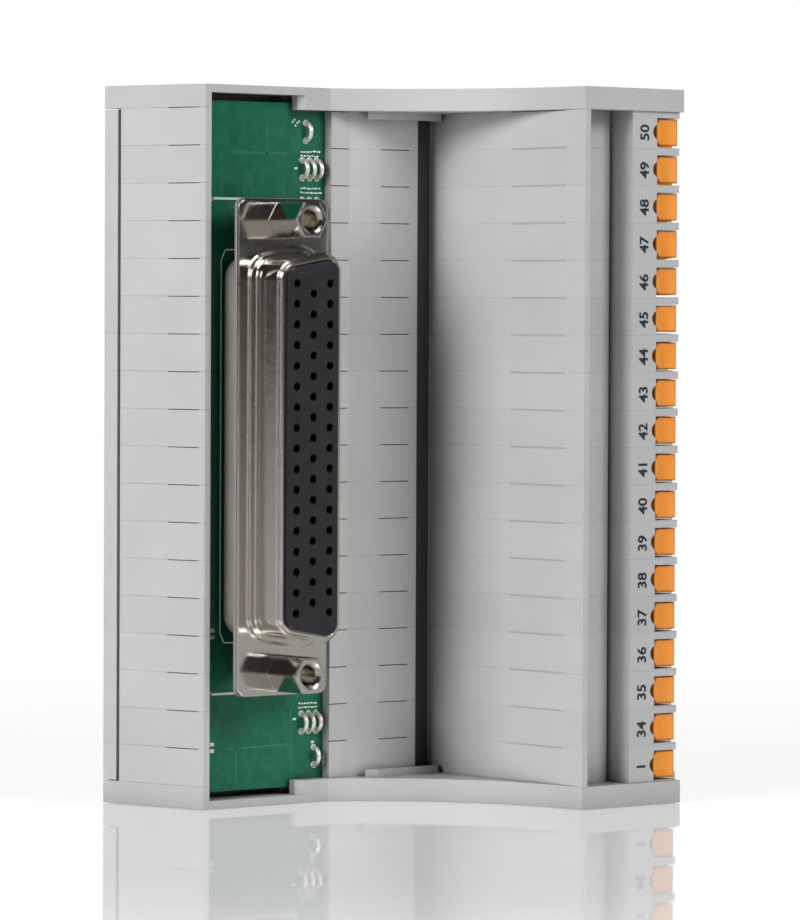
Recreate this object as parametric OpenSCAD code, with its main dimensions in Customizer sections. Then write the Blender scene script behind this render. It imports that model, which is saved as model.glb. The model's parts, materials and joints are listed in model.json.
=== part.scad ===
// Rail-mounted interface module: a 50-way D-shaped socket connector wired to three steps of push-in terminals.
// It stands on its lower end cover. Z runs along the rail, X across the circuit board, and -Y is the front.
// Outlines are drawn in board coordinates: s runs along the board from the left wall, h stands out of its front.

/* [Along the rail] */
// Thickness of one housing slice, which is the terminal pitch
pitch = 5.08; // [5:0.02:6]
// Thickness of an end cover
cover_t = 3.06; // [2.4:0.02:4]
// Thickness of the thin outer plate of an end cover beside the board
plate_t = 1.1; // [0.8:0.05:1.4]
// How far the board reaches into each end cover
board_reach = 1; // [0.6:0.01:1.2]

/* [Board] */
// Width of the circuit board across the rail
board_w = 75.2; // [74.4:0.1:80]
// Thickness of the circuit board
board_t = 1.6; // [1.2:0.1:1.8]
// Clearance between the board's edges and the housing walls
board_gap = 0.2; // [0.1:0.05:0.4]

/* [Housing] */
// Wall thickness of the housing rim beside the board
rim_t = 1; // [0.8:0.1:1.4]
// Height of the housing rim above the board's front face
rim_h = 2.2; // [1.8:0.1:3]
// Depth of the housing behind the board's front face
base_h = 14.8; // [14.4:0.1:18]
// How far each side wall leans out from the rim to the back
flare = 4.1; // [2:0.1:6]
// Depth of the web that closes one side of each slice
web_t = 1.2; // [0.8:0.1:2]
// Wall left round the pockets of a slice
pocket_wall = 1.4; // [1:0.1:1.8]
// Radius of the pegs that join the slices
peg_r = 1.1; // [0.8:0.05:1.2]
// Length of the pegs that join the slices
peg_l = 1.5; // [1:0.1:2]

/* [Rail and latch] */
// Width of the top-hat rail
rail_w = 35; // [35:0.1:36]
// Thickness of the rail's flange
rail_t = 1; // [1:0.1:1.5]
// Depth of the recess that takes the rail
rail_recess = 5; // [4.5:0.1:6]
// Hold of each hook behind the rail's flange
hook_hold = 1.6; // [1.2:0.1:1.8]
// Travel of a rail latch when it is pulled out
latch_travel = 2.5; // [2:0.1:2.6]
// Thickness of the latch plate
latch_t = 2.2; // [1.8:0.1:2.4]
// Gap between the latch plate and the housing
latch_slot = 0.5; // [0.3:0.05:0.8]
// Wall between the latch's chamber and the recesses behind the board
chamber_wall = 2; // [1.2:0.1:2.2]

/* [Valley cover] */
// Distance of the valley cover's left edge from the left wall
arm_s = 22.35; // [22:0.05:24]
// Height of the valley cover's left edge
arm_low = 1.5; // [1:0.1:2]
// Height of the valley cover beside its groove
arm_high = 2.8; // [2.2:0.1:4]
// Width of the groove at the foot of the tall wall
groove_w = 3.9; // [2:0.1:5]
// Distance of the tall wall's face from the left wall
wall_s = 40.6; // [39:0.1:42]
// Thickness of the tall wall
wall_t = 0.95; // [0.8:0.05:1.4]
// Height of the tall wall above the board
wall_h = 33.2; // [33:0.1:36]
// Height of the ledge behind the tall wall
ledge_h = 28.7; // [24:0.1:30]
// Gap between the valley cover and the terminals
ledge_gap = 0.55; // [0.3:0.05:1]

/* [Terminals] */
// Distance of the terminals from the left wall
block_s = 49.6; // [48:0.1:49.8]
// Width of one step
step_w = 8.65; // [8:0.05:8.8]
// Height of the lowest step above the board
low_h = 12.1; // [12:0.1:13]
// Rise from one step to the next
step_h = 10.3; // [10:0.1:10.5]
// Width of a release button along the rail
button_w = 3.65; // [3.2:0.05:3.8]
// Length of a release button across the step
button_s = 4; // [3.4:0.05:4.1]
// Depth of a release button's body
button_h = 3; // [2.4:0.1:3.2]
// Travel of a release button
button_travel = 1.2; // [0.8:0.1:1.3]
// Clearance round a release button
button_gap = 0.1; // [0.08:0.01:0.15]
// Gap under a release button, on the side towards the lower end
button_low_gap = 0.3; // [0.1:0.05:0.4]
// How far the poles sit below the middles of the slices
pole_drop = 0.25; // [0:0.05:0.25]
// Radius of a wire entry
entry_r = 1.4; // [1.1:0.05:1.5]

/* [Connector] */
// Distance of the connector's middle from the left wall
plug_s = 10; // [9.6:0.1:10.4]
// Height of the connector's flange above the board
flange_h = 6.6; // [6:0.1:8]
// Distance of the flange's ends from the jackscrews
flange_end = 2.91; // [2.6:0.01:3.4]
// Width of the flange
flange_w = 15.37; // [15:0.01:16]
// Thickness of the shell's sheet metal
sheet_t = 0.5; // [0.4:0.05:0.6]
// Distance of the jackscrews from the ends of the socket shell
screw_beyond = 4.345; // [4.2:0.005:5]
// Length of the socket shell at its wide side
shell_l = 52.42; // [52:0.01:53]
// Width of the socket shell
shell_w = 10.74; // [10.5:0.01:11]
// Height of the socket shell above the flange
shell_h = 5.9; // [5:0.1:7]
// Spacing of the contacts in a row
contact_pitch = 2.76; // [2.7:0.01:2.8]
// Spacing of the contact rows
row_pitch = 2.84; // [2.8:0.01:2.9]
// Least distance of a row's last contact from the end of the shell
shell_end = 4; // [3.9:0.1:5]
// Radius of the jackscrew's threaded hole
screw_hole_r = 1.25; // [1:0.05:1.4]
// Width of the jackscrew's hex across its flats
hex_w = 4.76; // [4.5:0.01:5]
// Height of the jackscrew's hex
hex_h = 6; // [5:0.1:7]

/* [Hidden] */
$fn = 48;
SLICES = [for (i = [1:18]) str("housing_slice_", i < 10 ? "0" : "", i)];
BUTTONS = [for (i = [1:18]) str("release_button_", i < 10 ? "0" : "", i)];

eps = 0.01;
// One slice for each slice name, and as many terminals on each step
slice_count = len(SLICES);
stack_l = slice_count * pitch;
total_l = stack_l + 2 * cover_t;
mid_z = total_l / 2;
body_w = 2 * rim_t + 2 * board_gap + board_w;
board_l = stack_l + 2 * board_reach;
origin_s = body_w / 2;
origin_h = (wall_h - base_h) / 2;
rail_c = body_w / 2;

// Heights of the rail seat, the hooks and the latch, in board coordinates
rail_floor = rail_recess - base_h;
hook_top = rail_floor - rail_t - 0.25;
latch_top = latch_t - base_h;
slot_top = latch_top + latch_slot;
side_gap = 0.3;
recess_left = rail_c - rail_w / 2 - side_gap;
recess_right = rail_c + rail_w / 2 + side_gap;
nose_left = recess_left + 0.1;
nose_right = rail_c - rail_w / 2 + hook_hold;
hook_left = rail_c + rail_w / 2 - hook_hold;
notch_left = nose_left - latch_travel - side_gap;

// Depth and places of the recesses behind the board for the solder pins
pin_depth = 3;
foot_1 = 5;
foot_2 = 15;
foot_3 = 47.5;
foot_4 = board_w - 0.2;

// Chamber that holds the latch's head and spring
chamber_left = 1.6;
chamber_right = notch_left - 0.9;
chamber_floor = slot_top + 1.1;
chamber_h = -board_t - pin_depth - chamber_wall - chamber_floor;
head_gap = 0.3;
stem_l = 3;
mouth_right = 12;
mouth_left = mouth_right - stem_l - latch_travel - 2 * head_gap;
spring_r = 7 / 22 * chamber_h;
spring_wire = 0.25;
latch_gap = 0.15;
latch_l = stack_l - 2 * latch_gap;

// Places of the pegs, as distance along the board and height
PEGS = [[(chamber_right + recess_left) / 2 + 0.6, rail_floor + 4.4], [recess_right + 0.3, rail_floor + 2.4]];
peg_gap = 0.05;

// Thin marks left where the slices meet
mark_t = 0.1;
mark_d = 0.3;

// Contacts in each outer row, as many as fit, and lengths that follow the shell
row_count = floor((shell_l - 2 * shell_end) / contact_pitch) + 1;
screw_spacing = shell_l + 2 * screw_beyond;
flange_l = screw_spacing + 2 * flange_end;

// D-shaped outline: the middles of its four corners
corner_r = 2.65;
d_a = shell_w / 2 - corner_r;
d_wide = shell_l / 2 - corner_r;
d_narrow = d_wide - 2 * d_a * tan(10);
D_CORNERS = [[-d_a, -d_narrow], [d_a, -d_wide], [d_a, d_wide], [-d_a, d_narrow]];
lip_in = 1.0;
shell_top = flange_h + shell_h;
insulator_top = shell_top + 0.5;
contact_r = 0.85;
socket_r = 0.65;
tail_r = 0.3;
pin_below = 1.7;

// Steps of the terminals: the left side and the top of each
STEPS = [[block_s, low_h + 2 * step_h], [block_s + step_w, low_h + step_h], [block_s + 2 * step_w, low_h]];
groove_depth = button_h + button_travel + 0.4;
button_sink = 0.2;
foot_out = 0.8;
finger_r = 1.05;
lug_w = 0.5;
foot_t = 1;
entry_drop = groove_depth + 2.5;
chamber_w = 3.4;
bar_w = 1;
bar_t = 0.6;
bar_in = 1.9;

housing_grey = "#c6c6c4";
board_green = "#0f6a4a";
button_orange = "#fa9a3c";
strip_grey = "#b2b4b8";
nickel = "#c9c5bd";
black = "#2c2d31";
gold = "#d8b25a";

function left_face(h) = -flare * (rim_h - h) / (rim_h + base_h);
function right_face(h) = body_w - left_face(h);
function unit(v) = v / norm(v);
function right_of(v) = [v[1], -v[0]];
function slice_z(i) = cover_t + (i - 1) * pitch;
// Corner points of an outline that follows circles of radius r round the points of c
function around(c, r) = [
    for (i = [0:len(c) - 1])
    let (before = c[(i + len(c) - 1) % len(c)], after = c[(i + 1) % len(c)])
    each [c[i] + r * right_of(unit(c[i] - before)), c[i] + r * right_of(unit(after - c[i]))]
];

// Moves a piece from board coordinates to the module's own origin
module placed() {
    translate([-origin_s, origin_h, 0]) children();
}

// Extrudes an outline of [s, h] points along the rail, from z0 over length l
module profile(points, z0, l) {
    translate([0, 0, z0]) linear_extrude(l) polygon([for (p = points) [p[0], -p[1]]]);
}

// A block between two corners given as [s, h, z]
module block(a, b) {
    translate([a[0], -b[1], a[2]]) cube([b[0] - a[0], b[1] - a[1], b[2] - a[2]]);
}

// Stands a drawing in (s, z) on the height h0, extruding outwards
module standing(h0) {
    translate([0, -h0, 0]) rotate([90, 0, 0]) children();
}

// A filled outline with round corners of radius r about the points of c
module rounded(c, r) {
    polygon(around(c, r));
    for (p = c) translate(p) circle(r);
}

// The connector's D outline, grown or shrunk from the shell's outside by more
module d_outline(more) {
    translate([plug_s, mid_z]) rounded(D_CORNERS, corner_r + more);
}

module peg_row(z, r, l) {
    for (p = PEGS) translate([p[0], -p[1], z]) cylinder(r = r, h = l);
}

// Outer outline of one slice, with the board seat in front and the rail seat behind
function slice_outline() = [
    [0, rim_h], [rim_t, rim_h], [rim_t, -board_t], [foot_1, -board_t], [foot_1, -board_t - pin_depth],
    [foot_2, -board_t - pin_depth], [foot_2, -board_t], [foot_3, -board_t], [foot_3, -board_t - pin_depth],
    [foot_4, -board_t - pin_depth], [foot_4, -board_t], [body_w - rim_t, -board_t], [body_w - rim_t, rim_h],
    [body_w, rim_h], [right_face(-base_h), -base_h], [hook_left + 1.2, -base_h], [hook_left, -base_h + 2.2],
    [hook_left, hook_top], [recess_right, hook_top], [recess_right, rail_floor], [recess_left, rail_floor],
    [recess_left, hook_top + 0.3], [notch_left, hook_top + 0.3], [notch_left, slot_top],
    [left_face(slot_top), slot_top]
];

module slice_pockets(z0) {
    pocket_floor = rail_floor + pocket_wall;
    pocket_top = -board_t - pocket_wall;
    deep_top = pocket_top - pin_depth;
    block([recess_left + pocket_wall, pocket_floor, z0], [rail_c - 1.5, pocket_top, z0 + pitch]);
    block([rail_c + 1.5, pocket_floor, z0], [foot_3 - pocket_wall, pocket_top, z0 + pitch]);
    block([rail_c + 1.5, pocket_floor, z0], [recess_right - 1.2, deep_top, z0 + pitch]);
    block([recess_right + 1.8, -base_h + pocket_wall, z0], [body_w + 0.4, deep_top, z0 + pitch]);
}

module housing_slice(i) {
    z0 = slice_z(i);
    color(housing_grey) placed() {
        difference() {
            profile(slice_outline(), z0, pitch);
            slice_pockets(z0 + web_t);
            block([chamber_left, chamber_floor, z0 - 1], [chamber_right, chamber_floor + chamber_h, z0 + pitch + 1]);
            block([mouth_left, slot_top - 1, z0 - 1], [mouth_right, chamber_floor + 1, z0 + pitch + 1]);
            peg_row(z0 - eps, peg_r + peg_gap, peg_l + 0.2);
            profile([[left_face(-4) - 1, -4], [left_face(-4) + mark_d, -4], [left_face(1.2) + mark_d, 1.2],
                [left_face(1.2) - 1, 1.2]], z0 + pitch - mark_t, 1);
        }
        peg_row(z0 + pitch - 1, peg_r, peg_l + 1);
    }
}

// Side profile of one valley cover: a low arm over the board, a groove, and the tall hollow wall
function cover_outline() = [
    [arm_s, 0], [arm_s, arm_low], [arm_s + 3.3, arm_low], [arm_s + 5, arm_low + 0.35], [arm_s + 8, arm_high - 0.45],
    [wall_s - groove_w - 2, arm_high - 0.1], [wall_s - groove_w, arm_high], [wall_s - groove_w, 0.9], [wall_s, 0.9],
    [wall_s, wall_h], [wall_s + wall_t, wall_h], [wall_s + wall_t, ledge_h], [block_s - ledge_gap, ledge_h],
    [block_s - ledge_gap, 0]
];

module valley_covers() {
    color(housing_grey) placed() for (i = [1:slice_count]) {
        z0 = slice_z(i);
        difference() {
            profile(cover_outline(), z0, pitch);
            block([wall_s + 1.2, 1.4, z0 + web_t], [block_s - ledge_gap - 1.2, ledge_h - 1.2, z0 + pitch + 1]);
            block([wall_s - 1, 18.2, z0 + pitch - mark_t], [wall_s + mark_d, 29.1, z0 + pitch + 1]);
            block([arm_s + 8.1, arm_high - 0.9, z0 + pitch - mark_t], [arm_s + 12.9, arm_high + 1, z0 + pitch + 1]);
            block([arm_s - 1, arm_low - mark_d, z0 + pitch - mark_t], [arm_s + 3, arm_low + 1, z0 + pitch + 1]);
        }
    }
}

// Outline of an end cover: its valley is an arc that meets the tall wall's tip
valley_s = arm_s - 0.8;
arc_rise = wall_h - rim_h;
arc_run = wall_s - valley_s;
arc_r = (arc_rise * arc_rise + arc_run * arc_run) / (2 * arc_run);
cover_edge = 0.35;

module end_outline() {
    top = STEPS[0][1] + 0.5;
    steps = [for (k = [0:2]) each [[STEPS[k][0] + step_w + cover_edge, k == 0 ? wall_h : STEPS[k][1] + 0.5],
        [STEPS[k][0] + step_w + cover_edge, k == 2 ? rim_h : STEPS[k + 1][1] + 0.5]]];
    polygon([for (p = concat([[0, rim_h], [wall_s + 1, rim_h], [wall_s + 1, wall_h]], steps, [[body_w, rim_h],
        [right_face(-base_h), -base_h], [recess_right + 0.5, -base_h], [recess_right + 0.5, rail_floor],
        [recess_left - 0.5, rail_floor], [recess_left - 0.5, -base_h], [left_face(-base_h), -base_h]]))
        [p[0], -p[1]]]);
    difference() {
        translate([valley_s, -wall_h]) square([arc_run + 1.5, arc_rise + 1]);
        translate([wall_s - arc_r, -wall_h]) circle(arc_r, $fn = 96);
        translate([0, -rim_h]) square([body_w, 5]);
    }
}

window_s = 16.4;

// An end cover lying with its outer face at z = 0 and its inner face at z = cover_t
module end_cover() {
    depth = cover_t - plate_t;
    difference() {
        linear_extrude(cover_t) end_outline();
        block([rim_t, -board_t - 0.2, plate_t], [body_w - rim_t, 0.2, cover_t + 1]);
        block([rim_t, -board_t - pin_depth, plate_t], [window_s, rim_h + 1, cover_t + 1]);
        profile([[window_s - 1, rim_h - 0.8], [window_s, rim_h - 0.8], [window_s + 0.9, rim_h + 0.1],
            [window_s - 1, rim_h + 0.1]], plate_t, depth + 1);
    }
    profile([[arm_s + 5.1, arm_high + 0.3], [arm_s + 6.3, arm_high + 1.6], [wall_s - 1, arm_high + 1.6],
        [wall_s - 0.3, arm_high + 0.8], [wall_s - 0.3, arm_high + 0.3]], cover_t - 0.5, 1.5);
}

module end_cover_lower() {
    color(housing_grey) placed() {
        end_cover();
        peg_row(cover_t - 1, peg_r, peg_l + 1);
    }
}

module end_cover_upper() {
    color(housing_grey) placed() difference() {
        translate([0, 0, total_l]) mirror([0, 0, 1]) end_cover();
        peg_row(total_l - cover_t - eps, peg_r + peg_gap, peg_l + 0.2);
    }
}

// Wire links on the board, as [s, z from the nearer end of the stack, 1 at the top]
link_r = 0.3;
link_span = 1.2;
LINKS = concat([[19, 2.9, 1]], [for (k = [0:2]) [18.4 + 1.27 * k, 8, 1]], [for (k = [0:2]) [18.4 + 1.27 * k, 13.4, 1]],
    [for (k = [0:2]) [18.6 + 1.27 * k, 7.7, 0]], [[20.8, 3, 0]]);
function link_z(p) = p[2] == 1 ? total_l - cover_t - p[1] : cover_t + p[1];

module contact_holes(r) {
    for (row = [-1:1], k = [0:row_count - 1 - (row == 0 ? 1 : 0)]) {
        count = row_count - (row == 0 ? 1 : 0);
        translate([plug_s + row * row_pitch, mid_z + (k - (count - 1) / 2) * contact_pitch]) circle(r);
    }
}

function bar_s(k) = STEPS[k][0] + bar_in;
function pole_z(i) = slice_z(i) + pitch / 2 - pole_drop;

module circuit_board() {
    color(board_green) placed() difference() {
        standing(-board_t) linear_extrude(board_t) difference() {
            translate([rim_t + board_gap, cover_t - board_reach]) square([board_w, board_l]);
            contact_holes(tail_r + 0.1);
            for (side = [-1, 1]) translate([plug_s, mid_z + side * screw_spacing / 2]) circle(standoff_peg_r + 0.1);
            for (k = [0:2], i = [1:slice_count]) translate([bar_s(k), pole_z(i)]) circle(0.65);
            for (p = LINKS, side = [-1, 1]) translate([p[0], link_z(p) + side * link_span]) circle(link_r + 0.07);
        }
    }
}

module wire_links() {
    color(gold) placed() for (p = LINKS) {
        translate([p[0], 0, link_z(p)]) rotate([0, -90, 0]) rotate([0, 0, 180])
            rotate_extrude(angle = 180, $fn = 32) translate([link_span, 0]) circle(link_r, $fn = 16);
        for (side = [-1, 1]) translate([p[0], 0, link_z(p) + side * link_span]) rotate([-90, 0, 0])
            cylinder(r = link_r, h = board_t, $fn = 16);
    }
}

// A button's plan in (s, z): square towards the riser, with round corners at its inner end
module button_plan(left, right) {
    w = button_w / 2;
    r = 1.1;
    polygon(concat(around([[left + r, w - r], [left + r, r - w]], r), [[right, -w], [right, w]]));
    for (side = [-1, 1]) translate([left + r, side * (w - r)]) circle(r);
}

module terminal_strip(k) {
    left = STEPS[k][0];
    top = STEPS[k][1];
    right = left + step_w;
    inner = right - button_s - button_gap;
    strip_l = stack_l;
    color(strip_grey) placed() difference() {
        block([left, 0, cover_t], [right, top, cover_t + strip_l]);
        for (i = [1:slice_count]) {
            z = pole_z(i);
            // Groove of the button, open to the riser, with a finger hole at its inner end
            block([inner, top - groove_depth, z - button_w / 2 - button_low_gap],
                [right + 1, top + 1, z + button_w / 2 + button_gap]);
            translate([inner + finger_r - 0.75, 0, z]) standing(top - groove_depth + 0.5)
                cylinder(r = finger_r, h = groove_depth + 1);
            // Undercut that holds the button's lugs
            block([inner - foot_out - button_gap, top - groove_depth, z - chamber_w / 2],
                [inner + 1, top - button_sink - button_h + foot_t + button_gap, z + chamber_w / 2]);
            // Wire entry with its funnel
            translate([right - 2.6, -top + entry_drop, z]) rotate([0, 90, 0]) cylinder(r = entry_r, h = 4);
            translate([right - 0.9, -top + entry_drop, z]) rotate([0, 90, 0])
                cylinder(r1 = entry_r, r2 = entry_r + 0.62, h = 1);
            // Clamp chamber and the shaft of the current bar
            block([left + 1.2, top - entry_drop - 2, z - chamber_w / 2],
                [right - 2.5, top - groove_depth - 0.8, z + chamber_w / 2]);
            block([left + bar_in - bar_t / 2 - 0.1, -1, z - bar_w / 2 - 0.1],
                [left + bar_in + bar_t / 2 + 0.1, top - entry_drop, z + bar_w / 2 + 0.1]);
        }
    }
}

// One release button: a body in its groove and two lugs that hold it in
module button(k, i) {
    top = STEPS[k][1] - button_sink;
    right = STEPS[k][0] + step_w;
    left = right - button_s;
    z = pole_z(i);
    w = button_w / 2;
    difference() {
        union() {
            translate([0, 0, z]) standing(top - button_h) linear_extrude(button_h) button_plan(left, right - 0.05);
            for (side = [-1, 1]) translate([0, 0, z + side * (chamber_w / 2 - 0.1 - lug_w / 2)])
                block([left - foot_out, top - button_h, -lug_w / 2], [left + 1.5, top - button_h + foot_t, lug_w / 2]);
        }
        // Dished top for a screwdriver's tip
        translate([right - button_s * 0.45, -top - 3.3, z - w - 1]) cylinder(r = 3.6, h = button_w + 2);
    }
}

module release_button(i) {
    color(button_orange) placed() button(0, i);
}

module button_row(k) {
    color(button_orange) placed() for (i = [1:slice_count]) button(k, i);
}

// Bent spring of one clamp, drawn in (s, h)
module clamp_springs() {
    color(nickel) placed() for (k = [0:2], i = [1:slice_count]) {
        left = STEPS[k][0];
        mid = STEPS[k][1] - entry_drop;
        profile([[left + bar_in + 0.6, mid - 1.7], [left + step_w - 2.9, mid - 1.7], [left + step_w - 2.7, mid - 1.4],
            [left + step_w - 4.6, mid + 1.3], [left + step_w - 4.9, mid + 1.1], [left + step_w - 3.3, mid - 1.4],
            [left + bar_in + 0.6, mid - 1.4]], pole_z(i) - 1.3, 2.6);
    }
}

// Current bars: a hook in the clamp chamber on a leg that is soldered in the board
module current_bars() {
    color(gold) placed() for (k = [0:2], i = [1:slice_count]) {
        s = bar_s(k);
        mid = STEPS[k][1] - entry_drop;
        z = pole_z(i);
        block([s - bar_t / 2, -board_t - pin_below, z - bar_w / 2], [s + bar_t / 2, mid, z + bar_w / 2]);
        block([s - bar_t / 2, mid - 0.6, z - 1.3], [s + bar_t / 2, mid + 1.5, z + 1.3]);
    }
}

module flange_plan(hole_r) {
    r = 1.2;
    a = flange_w / 2 - r;
    b = flange_l / 2 - r;
    difference() {
        translate([plug_s, mid_z]) rounded([[-a, -b], [a, -b], [a, b], [-a, b]], r);
        for (side = [-1, 1]) translate([plug_s, mid_z + side * screw_spacing / 2]) circle(hole_r);
    }
}

shank_r = 1.4;
standoff_d = 5;
standoff_peg_r = 1.5;
standoff_floor = 1;
rear_more = 0.3;
rear_low = 0.9;

module connector_front_shell() {
    back = flange_h - sheet_t;
    color(nickel) placed() difference() {
        union() {
            standing(back) linear_extrude(sheet_t) flange_plan(shank_r + 0.15);
            standing(back) linear_extrude(sheet_t + 0.7) d_outline(0.85);
            standing(back) linear_extrude(shell_top - 0.5 - back) d_outline(0);
            standing(back) linear_extrude(shell_top - back) d_outline(-0.35);
        }
        standing(back - 1) linear_extrude(shell_top - 0.5 - back + 1) d_outline(-sheet_t);
        standing(back - 1) linear_extrude(shell_h + 4) d_outline(-lip_in);
    }
}

module connector_rear_shell() {
    color(nickel) placed() {
        standing(flange_h - 2 * sheet_t) linear_extrude(sheet_t) difference() {
            flange_plan(shank_r + 0.15);
            d_outline(rear_more - sheet_t);
        }
        standing(rear_low) linear_extrude(flange_h - 2 * sheet_t - rear_low + eps) difference() {
            d_outline(rear_more);
            d_outline(rear_more - sheet_t);
        }
        standing(rear_low) linear_extrude(sheet_t) difference() {
            d_outline(rear_more - 0.3);
            d_outline(-1.6);
        }
    }
}

module front_insulator() {
    color(black) placed() difference() {
        union() {
            standing(shell_top - 1) linear_extrude(insulator_top - shell_top + 1) d_outline(-lip_in - 0.07);
            standing(flange_h - 2 * sheet_t + 0.1) linear_extrude(shell_h + 2 * sheet_t - 1) d_outline(-sheet_t - 0.05);
        }
        standing(flange_h - 3) linear_extrude(20) contact_holes(socket_r);
        standing(flange_h - 3) linear_extrude(insulator_top - flange_h + 2.6) contact_holes(contact_r + 0.04);
    }
}

module rear_insulator() {
    color(black) placed() difference() {
        union() {
            standing(rear_low + sheet_t) linear_extrude(flange_h - 2 * sheet_t + 0.1 - rear_low - sheet_t)
                d_outline(rear_more - sheet_t - 0.05);
            standing(0) linear_extrude(rear_low + sheet_t + eps) d_outline(-1.7);
        }
        standing(-1) linear_extrude(flange_h + 1) contact_holes(tail_r + 0.05);
    }
}

module socket_contacts() {
    top = insulator_top - 0.45;
    bottom = flange_h - 2 * sheet_t + 0.15;
    color(gold) placed() {
        standing(bottom) linear_extrude(0.6) contact_holes(contact_r);
        standing(bottom + 0.6 - eps) linear_extrude(top - bottom - 0.6) difference() {
            contact_holes(contact_r);
            contact_holes(0.52);
        }
        standing(-board_t - pin_below) linear_extrude(board_t + pin_below + bottom + eps) contact_holes(tail_r);
    }
}

module jackscrew(side) {
    color(nickel) placed() translate([plug_s, 0, mid_z + side * screw_spacing / 2]) difference() {
        union() {
            standing(flange_h) cylinder(d = hex_w / cos(30), h = hex_h, $fn = 6);
            standing(1.4) cylinder(r = shank_r, h = flange_h - 1.4 + 1);
        }
        standing(flange_h + 0.8) cylinder(r = screw_hole_r, h = hex_h);
        standing(flange_h + hex_h - 0.5) cylinder(r1 = screw_hole_r, r2 = screw_hole_r + 0.6, h = 0.6);
    }
}

module flange_standoffs() {
    color(nickel) placed() for (side = [-1, 1]) translate([plug_s, 0, mid_z + side * screw_spacing / 2]) difference() {
        union() {
            standing(0) cylinder(d = standoff_d, h = flange_h - 2 * sheet_t);
            standing(-board_t - 1) cylinder(r = standoff_peg_r, h = board_t + 1.2);
        }
        standing(standoff_floor) cylinder(r = shank_r + 0.05, h = flange_h);
    }
}

head_left = chamber_left + latch_travel + 0.4;
head_right = mouth_right - head_gap + 3.4;
latch_z = cover_t + latch_gap;
spring_count = 5;

// The rail latch: its plate slides under the slices and its head is held in their chamber
module rail_latch() {
    stem_right = mouth_right - head_gap;
    color(housing_grey) placed() difference() {
        profile([[left_face(latch_top), latch_top], [stem_right - stem_l, latch_top],
            [stem_right - stem_l, chamber_floor + head_gap], [head_left, chamber_floor + head_gap],
            [head_left, chamber_floor + chamber_h - head_gap], [head_right, chamber_floor + chamber_h - head_gap],
            [head_right, chamber_floor + head_gap], [stem_right, chamber_floor + head_gap], [stem_right, latch_top],
            [nose_left, latch_top], [nose_left, hook_top], [nose_right - 0.8, hook_top], [nose_right, hook_top - 0.8],
            [nose_right, latch_top], [nose_right - 1.6, -base_h], [left_face(-base_h), -base_h]],
            latch_z, latch_l);
        for (k = [1:spring_count]) translate([head_left - 1, -(chamber_floor + chamber_h / 2), spring_z(k)])
            rotate([0, 90, 0]) cylinder(r = spring_r + 0.15, h = 4);
    }
}

function spring_z(k) = latch_z + latch_l * (k - 0.5) / spring_count;

// Springs between the latch's head and the chamber wall
module latch_springs() {
    turns = 6;
    length = head_left + 3 - chamber_left;
    color(nickel) placed() for (k = [1:spring_count])
        translate([chamber_left, -(chamber_floor + chamber_h / 2), spring_z(k)]) rotate([0, 90, 0]) {
            for (t = [0:turns - 1]) translate([0, 0, spring_wire + t * (length - 2 * spring_wire) / (turns - 1)])
                rotate_extrude($fn = 24) translate([spring_r - spring_wire, 0]) circle(spring_wire, $fn = 13);
            translate([spring_r - spring_wire, 0, 0]) cylinder(r = spring_wire * 0.7, h = length, $fn = 13);
        }
}

end_cover_lower();
end_cover_upper();
for (i = [1:slice_count]) housing_slice(i);
valley_covers();
circuit_board();
wire_links();
terminal_strip(0);  // terminal_strip_tall
terminal_strip(1);  // terminal_strip_middle
terminal_strip(2);  // terminal_strip_low
for (i = [1:slice_count]) release_button(i);
button_row(1);  // middle_step_buttons
button_row(2);  // low_step_buttons
clamp_springs();
current_bars();
connector_rear_shell();
connector_front_shell();
front_insulator();
rear_insulator();
socket_contacts();
jackscrew(1);  // jackscrew_upper
jackscrew(-1);  // jackscrew_lower
flange_standoffs();
rail_latch();
latch_springs();
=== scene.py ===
import json
import math
import random

import bpy
from mathutils import Matrix, Vector


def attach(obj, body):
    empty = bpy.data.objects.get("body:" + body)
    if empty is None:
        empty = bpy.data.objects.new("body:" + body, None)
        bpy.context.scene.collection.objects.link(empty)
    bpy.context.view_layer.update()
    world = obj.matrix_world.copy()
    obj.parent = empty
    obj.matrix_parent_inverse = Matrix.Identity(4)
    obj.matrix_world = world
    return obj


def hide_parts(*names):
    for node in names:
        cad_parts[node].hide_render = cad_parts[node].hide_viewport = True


# Places are given as s (along the board), h (out of its front face) and z (along the rail), in millimetres.
MM = 0.001
ORIGIN_S = 38.8
ORIGIN_H = 9.2
COUNT = 18
PITCH = 5.08
COVER = 3.06
TOTAL = 2 * COVER + COUNT * PITCH
MIDDLE = TOTAL / 2
# A terminal's middle lies this far below the middle of its slice.
POLE_DROP = 0.25
# Half the distance between the two legs of a wire link
LINK_SPAN = 1.2
# The groove at the foot of the tall wall, from s to s, and the heights between which the painted shade on its
# bottom fades out
WALL_S = 40.6
GROOVE = (36.7, WALL_S)
GROOVE_SHADE_FADE = (2.5, 2.75)
# The three terminal steps: where each begins, and its height
STEPS = [(49.6, 32.7), (58.25, 22.4), (66.9, 12.1)]
# The connector: its middle, the height of its face, and the distances between its rows and contacts
PLUG_S = 10
FACE_H = 12.98
ROW_PITCH = 2.84
CONTACT_PITCH = 2.76
# Heights of the flat marks over the board's face, so that none lies in another
TRACK_H = 0.015
PRINT_H = 0.02
PAD_H = 0.025
# The notches in the tall wall's face, from h to h, and half their height
NOTCH_H = (18.1, 29.2)
NOTCH_HALF = 0.14
# A release button: its sizes, its sink under the step's top, and its outer end from the step's start
BUTTON_S = 4.0
BUTTON_H = 3.0
BUTTON_W = 3.65
BUTTON_SINK = 0.2
BUTTON_END = 8.6
CORNER_R = 1.1
DISH_R = 3.6
LUG_HALF = 0.25
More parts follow.
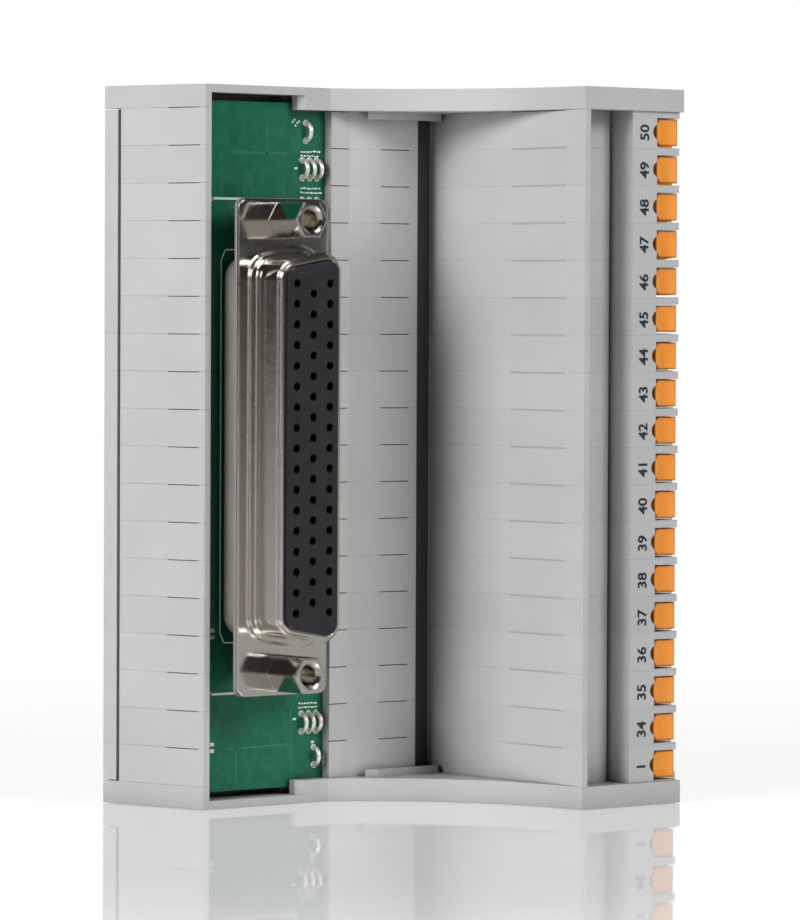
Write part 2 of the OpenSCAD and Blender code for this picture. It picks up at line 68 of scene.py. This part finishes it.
# The camera: its place in millimetres, its turns in degrees, and its focal length in the frame's pixels
CAMERA_PLACE = (-475.8, -554.6, 67.6)
CAMERA_TURN, CAMERA_TILT, CAMERA_ROLL = -40, -1.643, 0.26
FOCAL_PIXELS = 5298
FRAME_PIXELS = 920
SENSOR = 36.0


def place(s, h, z):
    return Vector(((s - ORIGIN_S) * MM, (ORIGIN_H - h) * MM, z * MM))


def pole(i):
    return COVER + (i - 0.5) * PITCH - POLE_DROP


class Graph:
    """A material's nodes, with short calls to add and link them."""

    def __init__(self, tree):
        self.tree = tree
        tree.nodes.clear()

    def add(self, kind, inputs=None, **settings):
        node = self.tree.nodes.new(kind)
        for key, value in settings.items():
            setattr(node, key, value)
        for key, value in (inputs or {}).items():
            if isinstance(value, bpy.types.NodeSocket):
                self.tree.links.new(value, node.inputs[key])
            else:
                node.inputs[key].default_value = value
        return node

    def math(self, operation, a, b=0.0, c=0.0):
        return self.add("ShaderNodeMath", {0: a, 1: b, 2: c}, operation=operation).outputs[0]

    def mix(self, factor, a, b):
        return self.add("ShaderNodeMix", {0: factor, 6: a, 7: b}, data_type="RGBA").outputs[2]

    def noise(self, vector, scale, detail=2.0):
        return self.add("ShaderNodeTexNoise", {"Vector": vector, "Scale": scale, "Detail": detail}).outputs[0]

    def ramp(self, value, low, high, to_low=0.0, to_high=1.0):
        return self.add("ShaderNodeMapRange", {0: value, 1: low, 2: high, 3: to_low, 4: to_high},
                        interpolation_type="SMOOTHSTEP").outputs[0]

    def position(self):
        return self.add("ShaderNodeTexCoord").outputs["Object"]

    def axes(self, vector):
        return self.add("ShaderNodeSeparateXYZ", {0: vector}).outputs


def rgb(r, g, b):
    return (r, g, b, 1.0)


def surface(name, colour, roughness, metallic=0.0, grain=0.0, grain_scale=4000.0, edge=0.12, tone=0.03,
            specular=0.5, paint=None, crevice_shade=0.0):
    """A solid material: a slowly changing tone, painted shade in crevices from ambient occlusion, fine grain
    and softened edges.
    """
    material = bpy.data.materials.new(name)
    material.use_nodes = True
    g = Graph(material.node_tree)
    where = g.position()
    slow = g.noise(where, 60.0, 3.0)
    shade = g.ramp(slow, 0.3, 0.7, 1.0 - tone, 1.0 + tone)
    base = g.add("ShaderNodeRGB")
    base.outputs[0].default_value = colour
    tint = base.outputs[0]
    if paint:
        tint = paint(g, where, tint)
    if crevice_shade:
        # Painted shade: the colour darkens where ambient occlusion finds surfaces close by, in crevices,
        # corners and between parts.
        open_part = g.add("ShaderNodeAmbientOcclusion", {"Distance": 7 * MM}, samples=8).outputs["AO"]
        shade = g.math("MULTIPLY", shade, g.ramp(open_part, 0.15, 0.75, 1.0 - crevice_shade, 1.0))
    toned = g.add("ShaderNodeVectorMath", {0: tint, "Scale": shade}, operation="SCALE").outputs[0]
    fine = g.noise(where, grain_scale, 2.0)
    rough = g.ramp(g.noise(where, 400.0, 3.0), 0.3, 0.7, roughness * 0.88, roughness * 1.12)
    soft = g.add("ShaderNodeBevel", {"Radius": edge * MM}, samples=4).outputs[0]
    bump = g.add("ShaderNodeBump", {"Strength": grain, "Distance": 0.0001, "Height": fine,
                                    "Normal": soft}).outputs[0]
    body = g.add("ShaderNodeBsdfPrincipled", {"Base Color": toned, "Roughness": rough, "Metallic": metallic,
                                              "Specular IOR Level": specular, "Normal": bump})
    g.add("ShaderNodeOutputMaterial", {"Surface": body.outputs[0]})
    return material


def limits(low, high):
    """Two places along s as metres in the frame."""
    return (low - ORIGIN_S) * MM, (high - ORIGIN_S) * MM


def seams(g, where, tint):
    """Fine broken lines where the slices meet, a tone for each slice, and painted shade on the bottom of the
    tall wall's groove.
    """
    spot = g.axes(where)
    z = g.math("DIVIDE", g.math("SUBTRACT", spot[2], COVER * MM), PITCH * MM)
    away = g.math("ABSOLUTE", g.math("SUBTRACT", g.math("FRACT", g.math("ADD", z, 0.5)), 0.5))
    line = g.ramp(away, 0.004, 0.016, 1.0, 0.0)
    broken = g.ramp(g.noise(where, 180.0, 2.0), 0.35, 0.62, 0.05, 0.3)
    number = g.math("FLOOR", z)
    own = g.add("ShaderNodeTexWhiteNoise", {"W": number}, noise_dimensions="1D").outputs[0]
    toned = g.add("ShaderNodeVectorMath", {0: tint, "Scale": g.ramp(own, 0.0, 1.0, 0.975, 1.015)},
                  operation="SCALE").outputs[0]
    lined = g.mix(g.math("MULTIPLY", line, broken), toned, rgb(0.2, 0.2, 0.195))
    # Painted shade: the bottom of the groove at the foot of the tall wall is painted near-black, standing for
    # the shade of a deeper groove.
    groove = g.math("MULTIPLY", g.ramp(spot[0], *limits(GROOVE[0] + 0.1, GROOVE[0] + 0.3)),
                    g.ramp(spot[0], *limits(GROOVE[1] - 0.15, GROOVE[1] - 0.05), 1.0, 0.0))
    low = g.math("MULTIPLY",
                 g.ramp(spot[1], (ORIGIN_H - GROOVE_SHADE_FADE[1]) * MM, (ORIGIN_H - GROOVE_SHADE_FADE[0]) * MM),
                 g.ramp(spot[1], (ORIGIN_H + 2.5) * MM, (ORIGIN_H + 3.0) * MM, 1.0, 0.0))
    from_middle = g.math("ABSOLUTE", g.math("SUBTRACT", spot[2], MIDDLE * MM))
    inside = g.ramp(from_middle, (MIDDLE - COVER - 0.1) * MM, (MIDDLE - COVER) * MM, 1.0, 0.0)
    groove_shade = g.math("MULTIPLY", g.math("MULTIPLY", groove, low), inside)
    return g.mix(groove_shade, lined, rgb(0.07, 0.07, 0.069))


def laminate(g, where, tint):
    """Solder mask on the board's faces and paler laminate on its edges."""
    normal = g.add("ShaderNodeNewGeometry").outputs["Normal"]
    side = g.ramp(g.math("ABSOLUTE", g.axes(normal)[1]), 0.4, 0.6, 1.0, 0.0)
    weave = g.ramp(g.noise(where, 900.0, 1.0), 0.35, 0.65, 0.9, 1.1)
    mask = g.add("ShaderNodeVectorMath", {0: tint, "Scale": weave}, operation="SCALE").outputs[0]
    return g.mix(side, mask, rgb(0.16, 0.36, 0.2))


def make_materials():
    """One material for each of the record's slots, and the scene's own finishes."""
    return {
        "housing": surface("light_grey_plastic", rgb(0.56, 0.56, 0.552), 0.5, grain=0.12, paint=seams,
                           crevice_shade=0.6),
        "strip": surface("cool_grey_plastic", rgb(0.55, 0.55, 0.555), 0.48, grain=0.12, paint=seams,
                         crevice_shade=0.4),
        "button": surface("orange_plastic", rgb(1.0, 0.34, 0.035), 0.42, grain=0.1, edge=0.2, crevice_shade=0.3),
        "board": surface("green_solder_mask", rgb(0.006, 0.15, 0.075), 0.3, grain=0.1, edge=0.05,
                         paint=laminate, crevice_shade=0.6, specular=0.35),
        "nickel": surface("nickel_plate", rgb(0.6, 0.57, 0.52), 0.13, metallic=1.0, grain=0.06,
                          grain_scale=900.0, edge=0.5),
        "satin": surface("satin_nickel", rgb(0.42, 0.39, 0.35), 0.5, metallic=0.5, grain=0.1, edge=0.3),
        # Painted shade: the gold socket contacts are darkened to a deep bronze for the shade inside their
        # holes.
        "shaded_gold": surface("painted_shade_contact", rgb(0.09, 0.065, 0.03), 0.4, metallic=1.0, edge=0.05),
        # Painted shade: a near-black for the rings at the contacts' mouths, darker than the black insulator,
        # standing for the shade in the holes.
        "funnel": surface("painted_funnel_shade", rgb(0.003, 0.003, 0.004), 0.5, edge=0.05),
        "insulator": surface("black_plastic", rgb(0.012, 0.012, 0.015), 0.36, grain=0.1, edge=0.25),
        "gold": surface("pale_gold", rgb(0.86, 0.7, 0.42), 0.25, metallic=1.0, edge=0.05),
        "steel": surface("spring_steel", rgb(0.6, 0.6, 0.6), 0.3, metallic=1.0, edge=0.05),
        # Painted shade: the flat grey of the strips laid over the tall wall's notches.
        "seam": surface("painted_notch_shade", rgb(0.42, 0.42, 0.413), 0.5, edge=0.02),
        "ink": surface("dark_blue_ink", rgb(0.012, 0.015, 0.03), 0.6, edge=0.01),
        "print": surface("white_print", rgb(0.85, 0.9, 0.87), 0.6, edge=0.01),
        "track": surface("covered_copper", rgb(0.02, 0.2, 0.105), 0.3, edge=0.02),
        "tin": surface("tinned_pad", rgb(0.88, 0.86, 0.78), 0.32, metallic=0.6, edge=0.02),
    }


FINISHES = {"connector_rear_shell": "satin", "socket_contacts": "shaded_gold", "wire_links": "tin"}


def dress(nodes, record, materials):
    """Gives every CAD node the material of its slot, or its own shade of it."""
    for entry in record["subparts"]:
        node = nodes[entry["node"]]
        node.data.materials.clear()
        node.data.materials.append(materials[FINISHES.get(entry["node"], entry["material_slot"])])


def solid(name, points, faces, material, body):
    """A finished piece from points in (s, h, z) and faces, riding on a body."""
    mesh = bpy.data.meshes.new(name)
    mesh.from_pydata([place(*p) for p in points], [], faces)
    mesh.materials.append(material)
    mesh.update()
    piece = bpy.data.objects.new(name, mesh)
    bpy.context.scene.collection.objects.link(piece)
    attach(piece, body)
    return piece


def ribbon(points, faces, line, width, h, closed=False):
    """Adds a flat line on the plane at height h, through (s, z) points."""
    pairs = list(zip(line, line[1:] + line[:1])) if closed else list(zip(line, line[1:]))
    for (s0, z0), (s1, z1) in pairs:
        long = math.hypot(s1 - s0, z1 - z0)
        ds, dz = (s1 - s0) / long * width / 2, (z1 - z0) / long * width / 2
        first = len(points)
        points += [(s0 - ds + dz, h, z0 - dz - ds), (s1 + ds + dz, h, z1 + dz - ds),
                   (s1 + ds - dz, h, z1 + dz + ds), (s0 - ds - dz, h, z0 - dz + ds)]
        faces.append((first, first + 1, first + 2, first + 3))


def patch(points, faces, s, z, wide, high, h):
    """Adds a flat rectangle on the plane at height h, round (s, z)."""
    ribbon(points, faces, [(s - wide / 2 + high / 2, z), (s + wide / 2 - high / 2, z)] if wide > high else
           [(s, z - high / 2 + wide / 2), (s, z + high / 2 - wide / 2)], min(wide, high), h)


def lettering(name, labels, material, body):
    """Plain numbers as one mesh: labels are (text, s, h, z, height), read upwards."""
    points, faces = [], []
    for text, s, h, z, height in labels:
        curve = bpy.data.curves.new(name + "_text", "FONT")
        curve.body = text
        curve.size = height * 1.4
        curve.align_x = "CENTER"
        curve.align_y = "CENTER"
        curve.offset = 0.06
        curve.resolution_u = 3
        holder = bpy.data.objects.new(name + "_text", curve)
        bpy.context.scene.collection.objects.link(holder)
        bpy.context.view_layer.update()
        graph = bpy.context.evaluated_depsgraph_get()
        mesh = bpy.data.meshes.new_from_object(holder.evaluated_get(graph))
        first = len(points)
        points += [(s - v.co.y, h, z + v.co.x) for v in mesh.vertices]
        faces += [tuple(first + k for k in f.vertices) for f in mesh.polygons]
        bpy.data.objects.remove(holder)
        bpy.data.curves.remove(curve)
        bpy.data.meshes.remove(mesh)
    return solid(name, points, faces, material, body)


def repeat_tree(name, build):
    """A node tree that puts one small form on every vertex of its object."""
    tree = bpy.data.node_groups.new(name, "GeometryNodeTree")
    tree.interface.new_socket("Places", in_out="INPUT", socket_type="NodeSocketGeometry")
    for label, value in (("Width", 1.0), ("Height", 0.1)):
        tree.interface.new_socket(label, in_out="INPUT", socket_type="NodeSocketFloat").default_value = value
    tree.interface.new_socket("Finish", in_out="INPUT", socket_type="NodeSocketMaterial")
    tree.interface.new_socket("Result", in_out="OUTPUT", socket_type="NodeSocketGeometry")
    g = Graph(tree)
    given = g.add("NodeGroupInput").outputs
    form = build(g, given)
    many = g.add("GeometryNodeInstanceOnPoints", {"Points": given["Places"], "Instance": form}).outputs[0]
    plain = g.add("GeometryNodeRealizeInstances", {0: many}).outputs[0]
    done = g.add("GeometryNodeSetMaterial", {"Geometry": plain, "Material": given["Finish"]}).outputs[0]
    g.add("NodeGroupOutput", {0: done})
    return tree


def ring_form(g, given):
    """A round rim lying on the front: Width across, Height of its wire."""
    path = g.add("GeometryNodeCurvePrimitiveCircle", {"Resolution": 20, "Radius": given["Width"]}).outputs[0]
    wire = g.add("GeometryNodeCurvePrimitiveCircle", {"Resolution": 8, "Radius": given["Height"]}).outputs[0]
    ring = g.add("GeometryNodeCurveToMesh", {"Curve": path, "Profile Curve": wire}).outputs[0]
    return g.add("GeometryNodeTransform", {"Geometry": ring, "Rotation": (math.pi / 2, 0, 0)}).outputs[0]


def repeated(name, tree, places, width, height, material, body):
    """Runs the tree on the places and keeps the result as a plain mesh."""
    mesh = bpy.data.meshes.new(name)
    mesh.from_pydata([place(*p) for p in places], [], [])
    piece = bpy.data.objects.new(name, mesh)
    bpy.context.scene.collection.objects.link(piece)
    modifier = piece.modifiers.new("repeat", "NODES")
    modifier.node_group = tree
    sockets = {s.name: s.identifier for s in tree.interface.items_tree if s.in_out == "INPUT"}
    modifier[sockets["Width"]] = width * MM
    modifier[sockets["Height"]] = height * MM
    modifier[sockets["Finish"]] = material
    bpy.context.view_layer.update()
    result = bpy.data.meshes.new_from_object(piece.evaluated_get(bpy.context.evaluated_depsgraph_get()))
    piece.modifiers.remove(modifier)
    piece.data = result
    bpy.data.meshes.remove(mesh)
    result.name = name
    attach(piece, body)
    return piece


def contact_places():
    """The mouths of the 50 contacts: 17, 16 and 17 in three rows."""
    spots = []
    for row in (-1, 0, 1):
        count = 16 if row == 0 else 17
        spots += [(PLUG_S + row * ROW_PITCH, FACE_H, MIDDLE + (k - (count - 1) / 2) * CONTACT_PITCH)
                  for k in range(count)]
    return spots


# The wire links' middles as (s, z): one and two rows of three at the upper cover, a row of three and one at
# the lower
LINKS = [(19.0, TOTAL - COVER - 2.9)]
LINKS += [(18.4 + 1.27 * k, TOTAL - COVER - d) for d in (8.0, 13.4) for k in range(3)]
LINKS += [(18.6 + 1.27 * k, COVER + 7.7) for k in range(3)] + [(20.8, COVER + 3.0)]


def board_marks(materials):
    """Outline of the connector, tracks and small marks on the board's face."""
    points, faces = [], []
    s0, s1, z0, z1 = 2.3, 17.7, MIDDLE - 33.5, MIDDLE + 33.5
    outer = [(s0 + 0.6, z0), (s1, z0), (s1, z1), (s0 + 0.6, z1), (s0, z1 - 0.6), (s0, z0 + 0.6)]
    ribbon(points, faces, outer, 0.32, PRINT_H, True)
    half = [(4.4, 25.2), (5.1, 26.6), (15.0, 26.6), (15.7, 25.2)]
    inner = [(s, MIDDLE - z) for s, z in half] + [(s, MIDDLE + z) for s, z in reversed(half)]
    ribbon(points, faces, inner, 0.2, PRINT_H, True)
    chance = random.Random(7)
    for z in (88.6, 83.6, 13.1):
        for row in (-0.3, 0.3):
            s = 18.1
            while s < 21.4:
                wide = chance.choice((0.25, 0.4, 0.6))
                patch(points, faces, s + wide / 2, z + row + chance.uniform(-0.06, 0.06), wide, 0.2, PRINT_H)
                s += wide + 0.16
    for s, z in ((17.0, 93.2), (17.5, 92.8), (17.2, 92.4), (17.8, 93.0), (16.7, 92.9)):
        patch(points, faces, s, z, 0.3, 0.2, PRINT_H)
    for s, z in ((17.3, 86.6), (17.4, 11.3), (20.6, 8.0)):
        patch(points, faces, s, z, 0.55, 0.3, PRINT_H)
    solid("board_print", points, faces, materials["print"], "module")
    points, faces = [], []
    for line in ([(4.4, 82.6), (4.4, 88.6)], [(5.6, 88.6), (15.6, 88.6)], [(9.6, 83.0), (9.6, 85.0)],
                 [(15.2, 83.0), (15.2, 84.4)], [(5.4, 7.7), (16.4, 7.9)], [(16.8, 4.0), (16.8, 12.6)],
                 [(12.2, 88.6), (12.2, 92.8)], [(7.2, 3.2), (7.2, 7.7)]):
        ribbon(points, faces, line, 0.25, TRACK_H)
    solid("board_tracks", points, faces, materials["track"], "module")
    points, faces = [], []
    for s, z in ((3.1, 7.6), (3.1, 8.5), (3.1, 23.0), (3.1, 23.9)):
        patch(points, faces, s, z, 0.7, 0.5, PAD_H)
    solid("board_pads", points, faces, materials["tin"], "module")


def numbers(materials):
    """Plain row numbers beside the buttons: 1 and 34 to 50 on the tall step, the others on the lower two."""
    tall = ["1"] + [str(n) for n in range(34, 51)]
    middle = [str(n) for n in range(16, 34)]
    low = [str(n) for n in range(2, 16)]
    labels = []
    for texts, (left, top) in zip((tall, middle, low), STEPS):
        labels += [(text, left + 2.3, top + 0.015, pole(i + 1) - 0.12, 1.6) for i, text in enumerate(texts)]
    lettering("step_numbers", labels, materials["ink"], "module")


def button_form(points, faces, step, z):
    """A release button: straight sides, round corners at its inner end and a dished top with broken edges."""
    right = step[0] + BUTTON_END
    left, top, bottom = right - BUTTON_S + 0.05, step[1] - BUTTON_SINK, step[1] - BUTTON_SINK - BUTTON_H
    stations = [left + CORNER_R * (1 - math.cos(k * math.pi / 12)) for k in range(7)]
    stations += [left + CORNER_R + (right - left - CORNER_R) * k / 8 for k in range(1, 9)]
    dish_s, edge = right - BUTTON_S * 0.45, 0.18
    first = len(points)
    for s in stations:
        short = max(0.0, left + CORNER_R - s)
        w = BUTTON_W / 2 - CORNER_R + math.sqrt(max(0.0, CORNER_R ** 2 - short ** 2))
        away = s - dish_s
        dish = top + DISH_R - 0.3 - math.sqrt(DISH_R ** 2 - away ** 2) if abs(away) < 1.43 else top
        end = edge if s in (stations[0], stations[-1]) else 0.0
        low, high = min(dish, top) - edge, min(dish, top) - end
        points += [(s, bottom, z - w), (s, low, z - w), (s, high, z - w + edge),
                   (s, high, z + w - edge), (s, low, z + w), (s, bottom, z + w)]
    for k in range(len(stations) - 1):
        a = first + 6 * k
        faces += [(a + j, a + (j + 1) % 6, a + 6 + (j + 1) % 6, a + 6 + j) for j in range(6)]
    last = first + 6 * (len(stations) - 1)
    faces += [tuple(first + 5 - j for j in range(6)), tuple(last + j for j in range(6))]
    for side in (-1, 1):
        lug = z + side * (1.7 - 0.1 - LUG_HALF)
        a = len(points)
        points += [(s, h, lug + d) for s in (left - 0.8, left + 1.5) for h in (bottom, bottom + 1)
                   for d in (-LUG_HALF, LUG_HALF)]
        faces += [(a, a + 1, a + 3, a + 2), (a + 4, a + 6, a + 7, a + 5), (a, a + 4, a + 5, a + 1),
                  (a + 2, a + 3, a + 7, a + 6), (a, a + 2, a + 6, a + 4), (a + 1, a + 5, a + 7, a + 3)]


def buttons(materials):
    """The full form of every button, in place of its solid, whose sides are notched."""
    for i in range(1, COUNT + 1):
        points, faces = [], []
        button_form(points, faces, STEPS[0], pole(i))
        name = "release_button_%02d" % i
        piece = solid(name + "_form", points, faces, materials["button"], name)
        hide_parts(name)
    for step, node in ((STEPS[1], "middle_step_buttons"), (STEPS[2], "low_step_buttons")):
        points, faces = [], []
        for i in range(1, COUNT + 1):
            button_form(points, faces, step, pole(i))
        piece = solid(node + "_form", points, faces, materials["button"], "module")
        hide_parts(node)


def wall_seams(materials):
    """Faint grey strips over the notches of the tall wall's face, painted shade in place of the notches' own.
    """
    points, faces = [], []
    for i in range(1, COUNT):
        z = COVER + i * PITCH - 0.05
        first = len(points)
        low, high = NOTCH_H
        points += [(WALL_S - 0.01, h, z + d) for h, d in ((low, -NOTCH_HALF), (high, -NOTCH_HALF),
                                                          (high, NOTCH_HALF), (low, NOTCH_HALF))]
        faces.append((first, first + 1, first + 2, first + 3))
    solid("wall_seams", points, faces, materials["seam"], "module")


def repeats(materials):
    """Near-black rings at the contacts' mouths as painted shade of their funnels, and the solder pads of the
    wire links.
    """
    ring = repeat_tree("rims_on_places", ring_form)
    repeated("contact_funnel_shade", ring, contact_places(), 0.68, 0.12, materials["funnel"], "module")
    pads = [(s, 0.0, z + side * LINK_SPAN) for s, z in LINKS for side in (-1, 1)]
    repeated("link_pads", ring, pads, 0.4, 0.08, materials["tin"], "module")


def build_camera():
    """The camera at the photograph's place, with the photograph's framing."""
    data = bpy.data.cameras.new("photo_camera")
    data.sensor_fit = "AUTO"
    data.sensor_width = SENSOR
    data.lens = FOCAL_PIXELS * SENSOR / FRAME_PIXELS
    data.clip_start = 0.01
    camera = bpy.data.objects.new("photo_camera", data)
    bpy.context.scene.collection.objects.link(camera)
    turn = Matrix.Rotation(math.radians(CAMERA_TURN), 4, "Z")
    pitch = Matrix.Rotation(math.radians(90 + CAMERA_TILT), 4, "X")
    roll = Matrix.Rotation(math.radians(CAMERA_ROLL), 4, "Z")
    camera.matrix_world = Matrix.Translation(Vector(CAMERA_PLACE) * MM) @ turn @ pitch @ roll
    bpy.context.scene.camera = camera


def area_light(name, position, target, size, power):
    """A softbox at a position in metres, turned to its target."""
    data = bpy.data.lights.new(name, "AREA")
    data.shape = "RECTANGLE"
    data.size, data.size_y = size
    data.energy = power
    lamp = bpy.data.objects.new(name, data)
    lamp.location = position
    lamp.rotation_euler = (Vector(target) - Vector(position)).to_track_quat("-Z", "Y").to_euler()
    bpy.context.scene.collection.objects.link(lamp)


def build_light():
    """A dim room with one bright side, white to the camera, and three softboxes."""
    world = bpy.data.worlds.new("studio")
    bpy.context.scene.world = world
    world.use_nodes = True
    g = Graph(world.node_tree)
    toward = g.add("ShaderNodeTexCoord").outputs["Generated"]

    def facing(x, y, z, low, high):
        v = Vector((x, y, z)).normalized()
        dot = g.add("ShaderNodeVectorMath", {0: toward, 1: tuple(v)}, operation="DOT_PRODUCT")
        return g.ramp(dot.outputs["Value"], low, high)

    light = g.math("ADD", 0.03, g.math("MULTIPLY", facing(0.643, 0.766, 0.0, 0.86, 0.97), 1.55))
    seen = g.add("ShaderNodeLightPath").outputs["Is Camera Ray"]
    lit = g.add("ShaderNodeBackground", {"Color": rgb(1, 1, 1), "Strength": light}).outputs[0]
    white = g.add("ShaderNodeBackground", {"Color": rgb(1, 1, 1), "Strength": 1.0}).outputs[0]
    both = g.add("ShaderNodeMixShader", {0: seen, 1: lit, 2: white}).outputs[0]
    g.add("ShaderNodeOutputWorld", {"Surface": both})
    area_light("left_softbox", (-0.86, -0.11, 0.47), (0.0, 0.0, 0.045), (0.42, 0.42), 5.4)
    area_light("left_strip", (-0.94, -0.2, 0.3), (0.0, 0.0, 0.1), (0.16, 0.6), 1.3)
    area_light("front_softbox", (0.3, -1.04, 0.6), (0.0, 0.0, 0.045), (0.42, 0.42), 6.4)


def build_floor():
    """A glossy white table top, which fades to white with its distance from the object."""
    material = bpy.data.materials.new("glossy_white_table")
    material.use_nodes = True
    g = Graph(material.node_tree)
    where = g.position()
    tone = g.ramp(g.noise(where, 3.0, 2.0), 0.3, 0.7, 0.985, 1.0)
    colour = g.add("ShaderNodeCombineColor", {0: tone, 1: tone, 2: tone}).outputs[0]
    flat = g.add("ShaderNodeBsdfDiffuse", {"Color": colour}).outputs[0]
    shine = g.add("ShaderNodeBsdfGlossy", {"Color": rgb(1, 1, 1), "Roughness": 0.03}).outputs[0]
    glow = g.add("ShaderNodeEmission", {"Color": rgb(1, 1, 1), "Strength": 0.8}).outputs[0]
    base = g.add("ShaderNodeMixShader", {0: 0.65, 1: flat, 2: glow}).outputs[0]
    both = g.add("ShaderNodeMixShader", {0: 0.32, 1: base, 2: shine}).outputs[0]
    away = g.add("ShaderNodeVectorMath", {0: where}, operation="LENGTH").outputs["Value"]
    seen = g.add("ShaderNodeLightPath").outputs["Is Camera Ray"]
    far = g.math("MULTIPLY", g.ramp(away, 0.1, 0.28), seen)
    white = g.add("ShaderNodeEmission", {"Color": rgb(1, 1, 1), "Strength": 1.0}).outputs[0]
    faded = g.add("ShaderNodeMixShader", {0: far, 1: both, 2: white}).outputs[0]
    g.add("ShaderNodeOutputMaterial", {"Surface": faded})
    mesh = bpy.data.meshes.new("table_top")
    mesh.from_pydata([(x, y, -0.0001) for x, y in ((-3, -3), (3, -3), (3, 3), (-3, 3))], [], [(0, 1, 2, 3)])
    mesh.materials.append(material)
    table = bpy.data.objects.new("table_top", mesh)
    bpy.context.scene.collection.objects.link(table)


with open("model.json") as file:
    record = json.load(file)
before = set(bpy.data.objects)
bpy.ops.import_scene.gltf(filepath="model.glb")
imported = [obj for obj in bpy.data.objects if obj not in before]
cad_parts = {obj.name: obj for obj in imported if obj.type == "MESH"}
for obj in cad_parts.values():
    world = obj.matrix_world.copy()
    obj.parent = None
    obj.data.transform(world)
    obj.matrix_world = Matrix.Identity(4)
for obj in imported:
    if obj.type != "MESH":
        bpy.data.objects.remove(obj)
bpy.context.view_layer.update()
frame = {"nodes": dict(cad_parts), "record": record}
finishes = make_materials()
dress(frame["nodes"], frame["record"], finishes)
board_marks(finishes)
numbers(finishes)
buttons(finishes)
wall_seams(finishes)
repeats(finishes)
build_floor()
build_light()
build_camera()
bpy.context.scene.view_settings.view_transform = "Standard"
